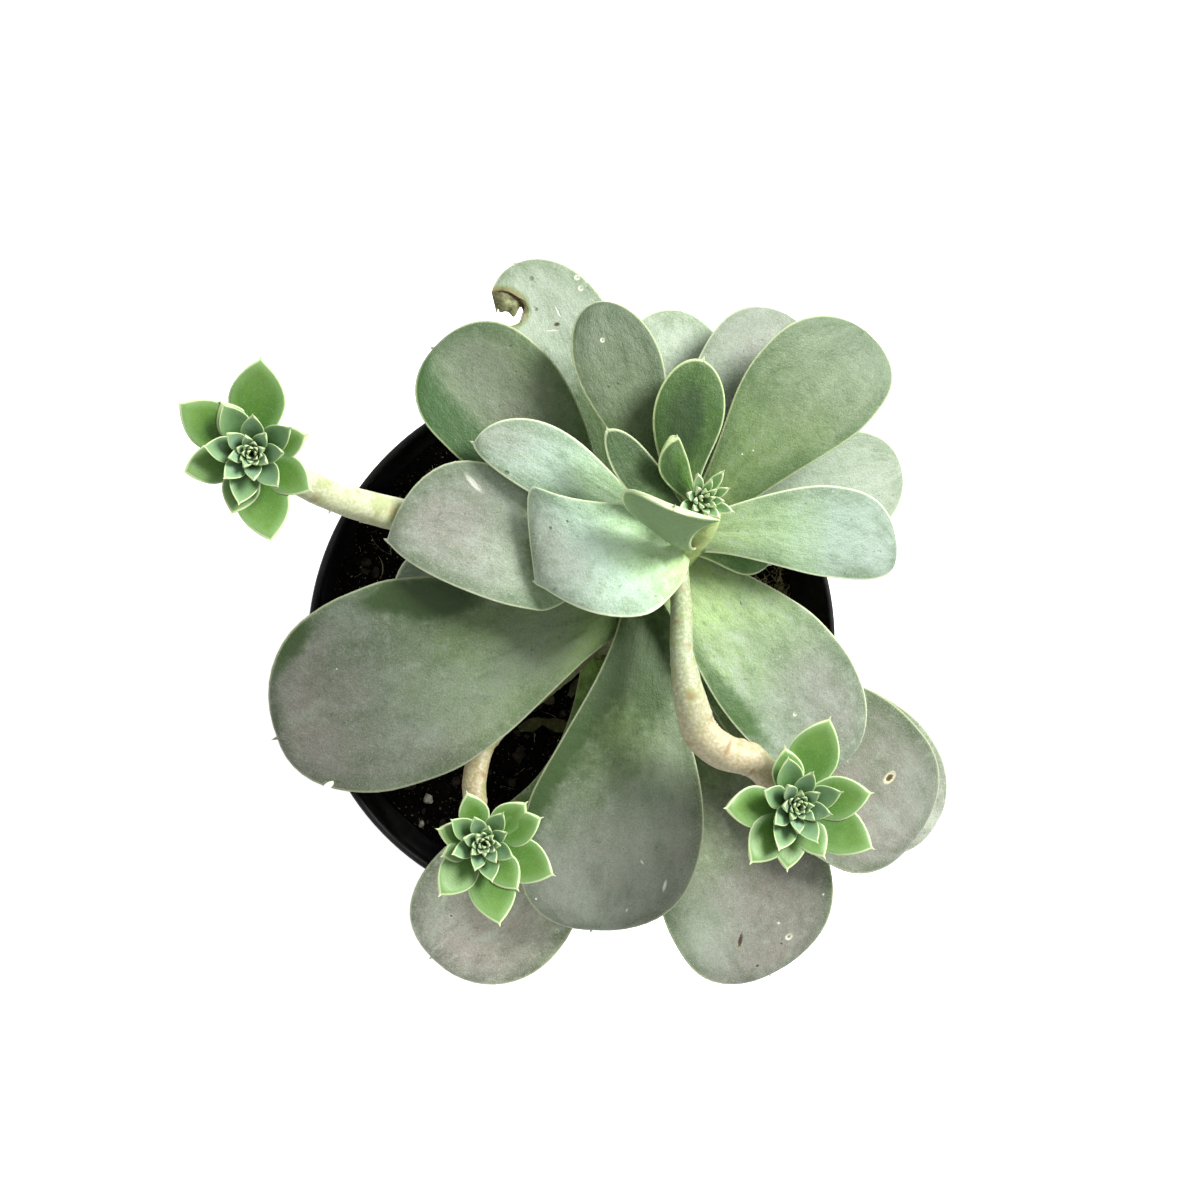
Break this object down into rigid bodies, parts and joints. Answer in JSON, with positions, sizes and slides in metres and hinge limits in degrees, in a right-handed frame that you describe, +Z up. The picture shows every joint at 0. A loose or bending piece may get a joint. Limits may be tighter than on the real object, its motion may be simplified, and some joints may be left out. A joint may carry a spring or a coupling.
{
  "type": "potted echeveria",
  "caption": "Leaning succulent with spoon-shaped grey-green leaves and small rosettes on bare offset stems, rooted in a soil-filled tapered black nursery pot.",
  "frame": {"origin": "middle of the underside of the pot, on the surface that it stands on", "axes": "+Z up; -Y towards the front, the side at the lower edge of the picture; +X to its right"},
  "size_m": [0.1772, 0.1677, 0.1582],
  "materials": {
    "pot_plastic": "satin black, scuffed",
    "potting_mix": "rough, damp, with pale grit",
    "stem_skin": "smooth, matt, scarred where leaves fell",
    "leaf_grey_green": "matt wax bloom, worn off in patches",
    "leaf_young_green": "matt wax bloom",
    "leaf_fresh_green": "satin, pale margins"
  },
  "bodies": {
    "root": {"heart": "leaf_young_green", "leaf_back_dark": "leaf_grey_green", "leaf_back_left": "leaf_grey_green", "leaf_back_middle": "leaf_grey_green", "leaf_back_right": "leaf_grey_green", "leaf_back_upright": "leaf_grey_green", "leaf_folded_small": "leaf_young_green", "leaf_front_large": "leaf_grey_green", "leaf_front_low_left": "leaf_grey_green", "leaf_front_low_right": "leaf_grey_green", "leaf_front_upright": "leaf_grey_green", "leaf_left_front": "leaf_grey_green", "leaf_left_large": "leaf_grey_green", "leaf_left_lower": "leaf_grey_green", "leaf_left_middle": "leaf_grey_green", "leaf_left_small": "leaf_young_green", "leaf_left_upper": "leaf_young_green", "leaf_right": "leaf_grey_green", "leaf_right_front_lower": "leaf_grey_green", "leaf_right_front_middle": "leaf_grey_green", "leaf_right_front_upper": "leaf_grey_green", "leaf_right_lower": "leaf_grey_green", "leaf_small_right": "leaf_young_green", "leaf_upper_left": "leaf_grey_green", "leaf_upper_right": "leaf_grey_green", "main_stem": "stem_skin", "offset_stem_front_left": "stem_skin", "offset_stem_front_right": "stem_skin", "offset_stem_left": "stem_skin", "pot": "pot_plastic", "rosette_front_left": "leaf_fresh_green", "rosette_front_right": "leaf_fresh_green", "rosette_left": "leaf_fresh_green", "soil": "potting_mix"}
  },
  "joints": []
}
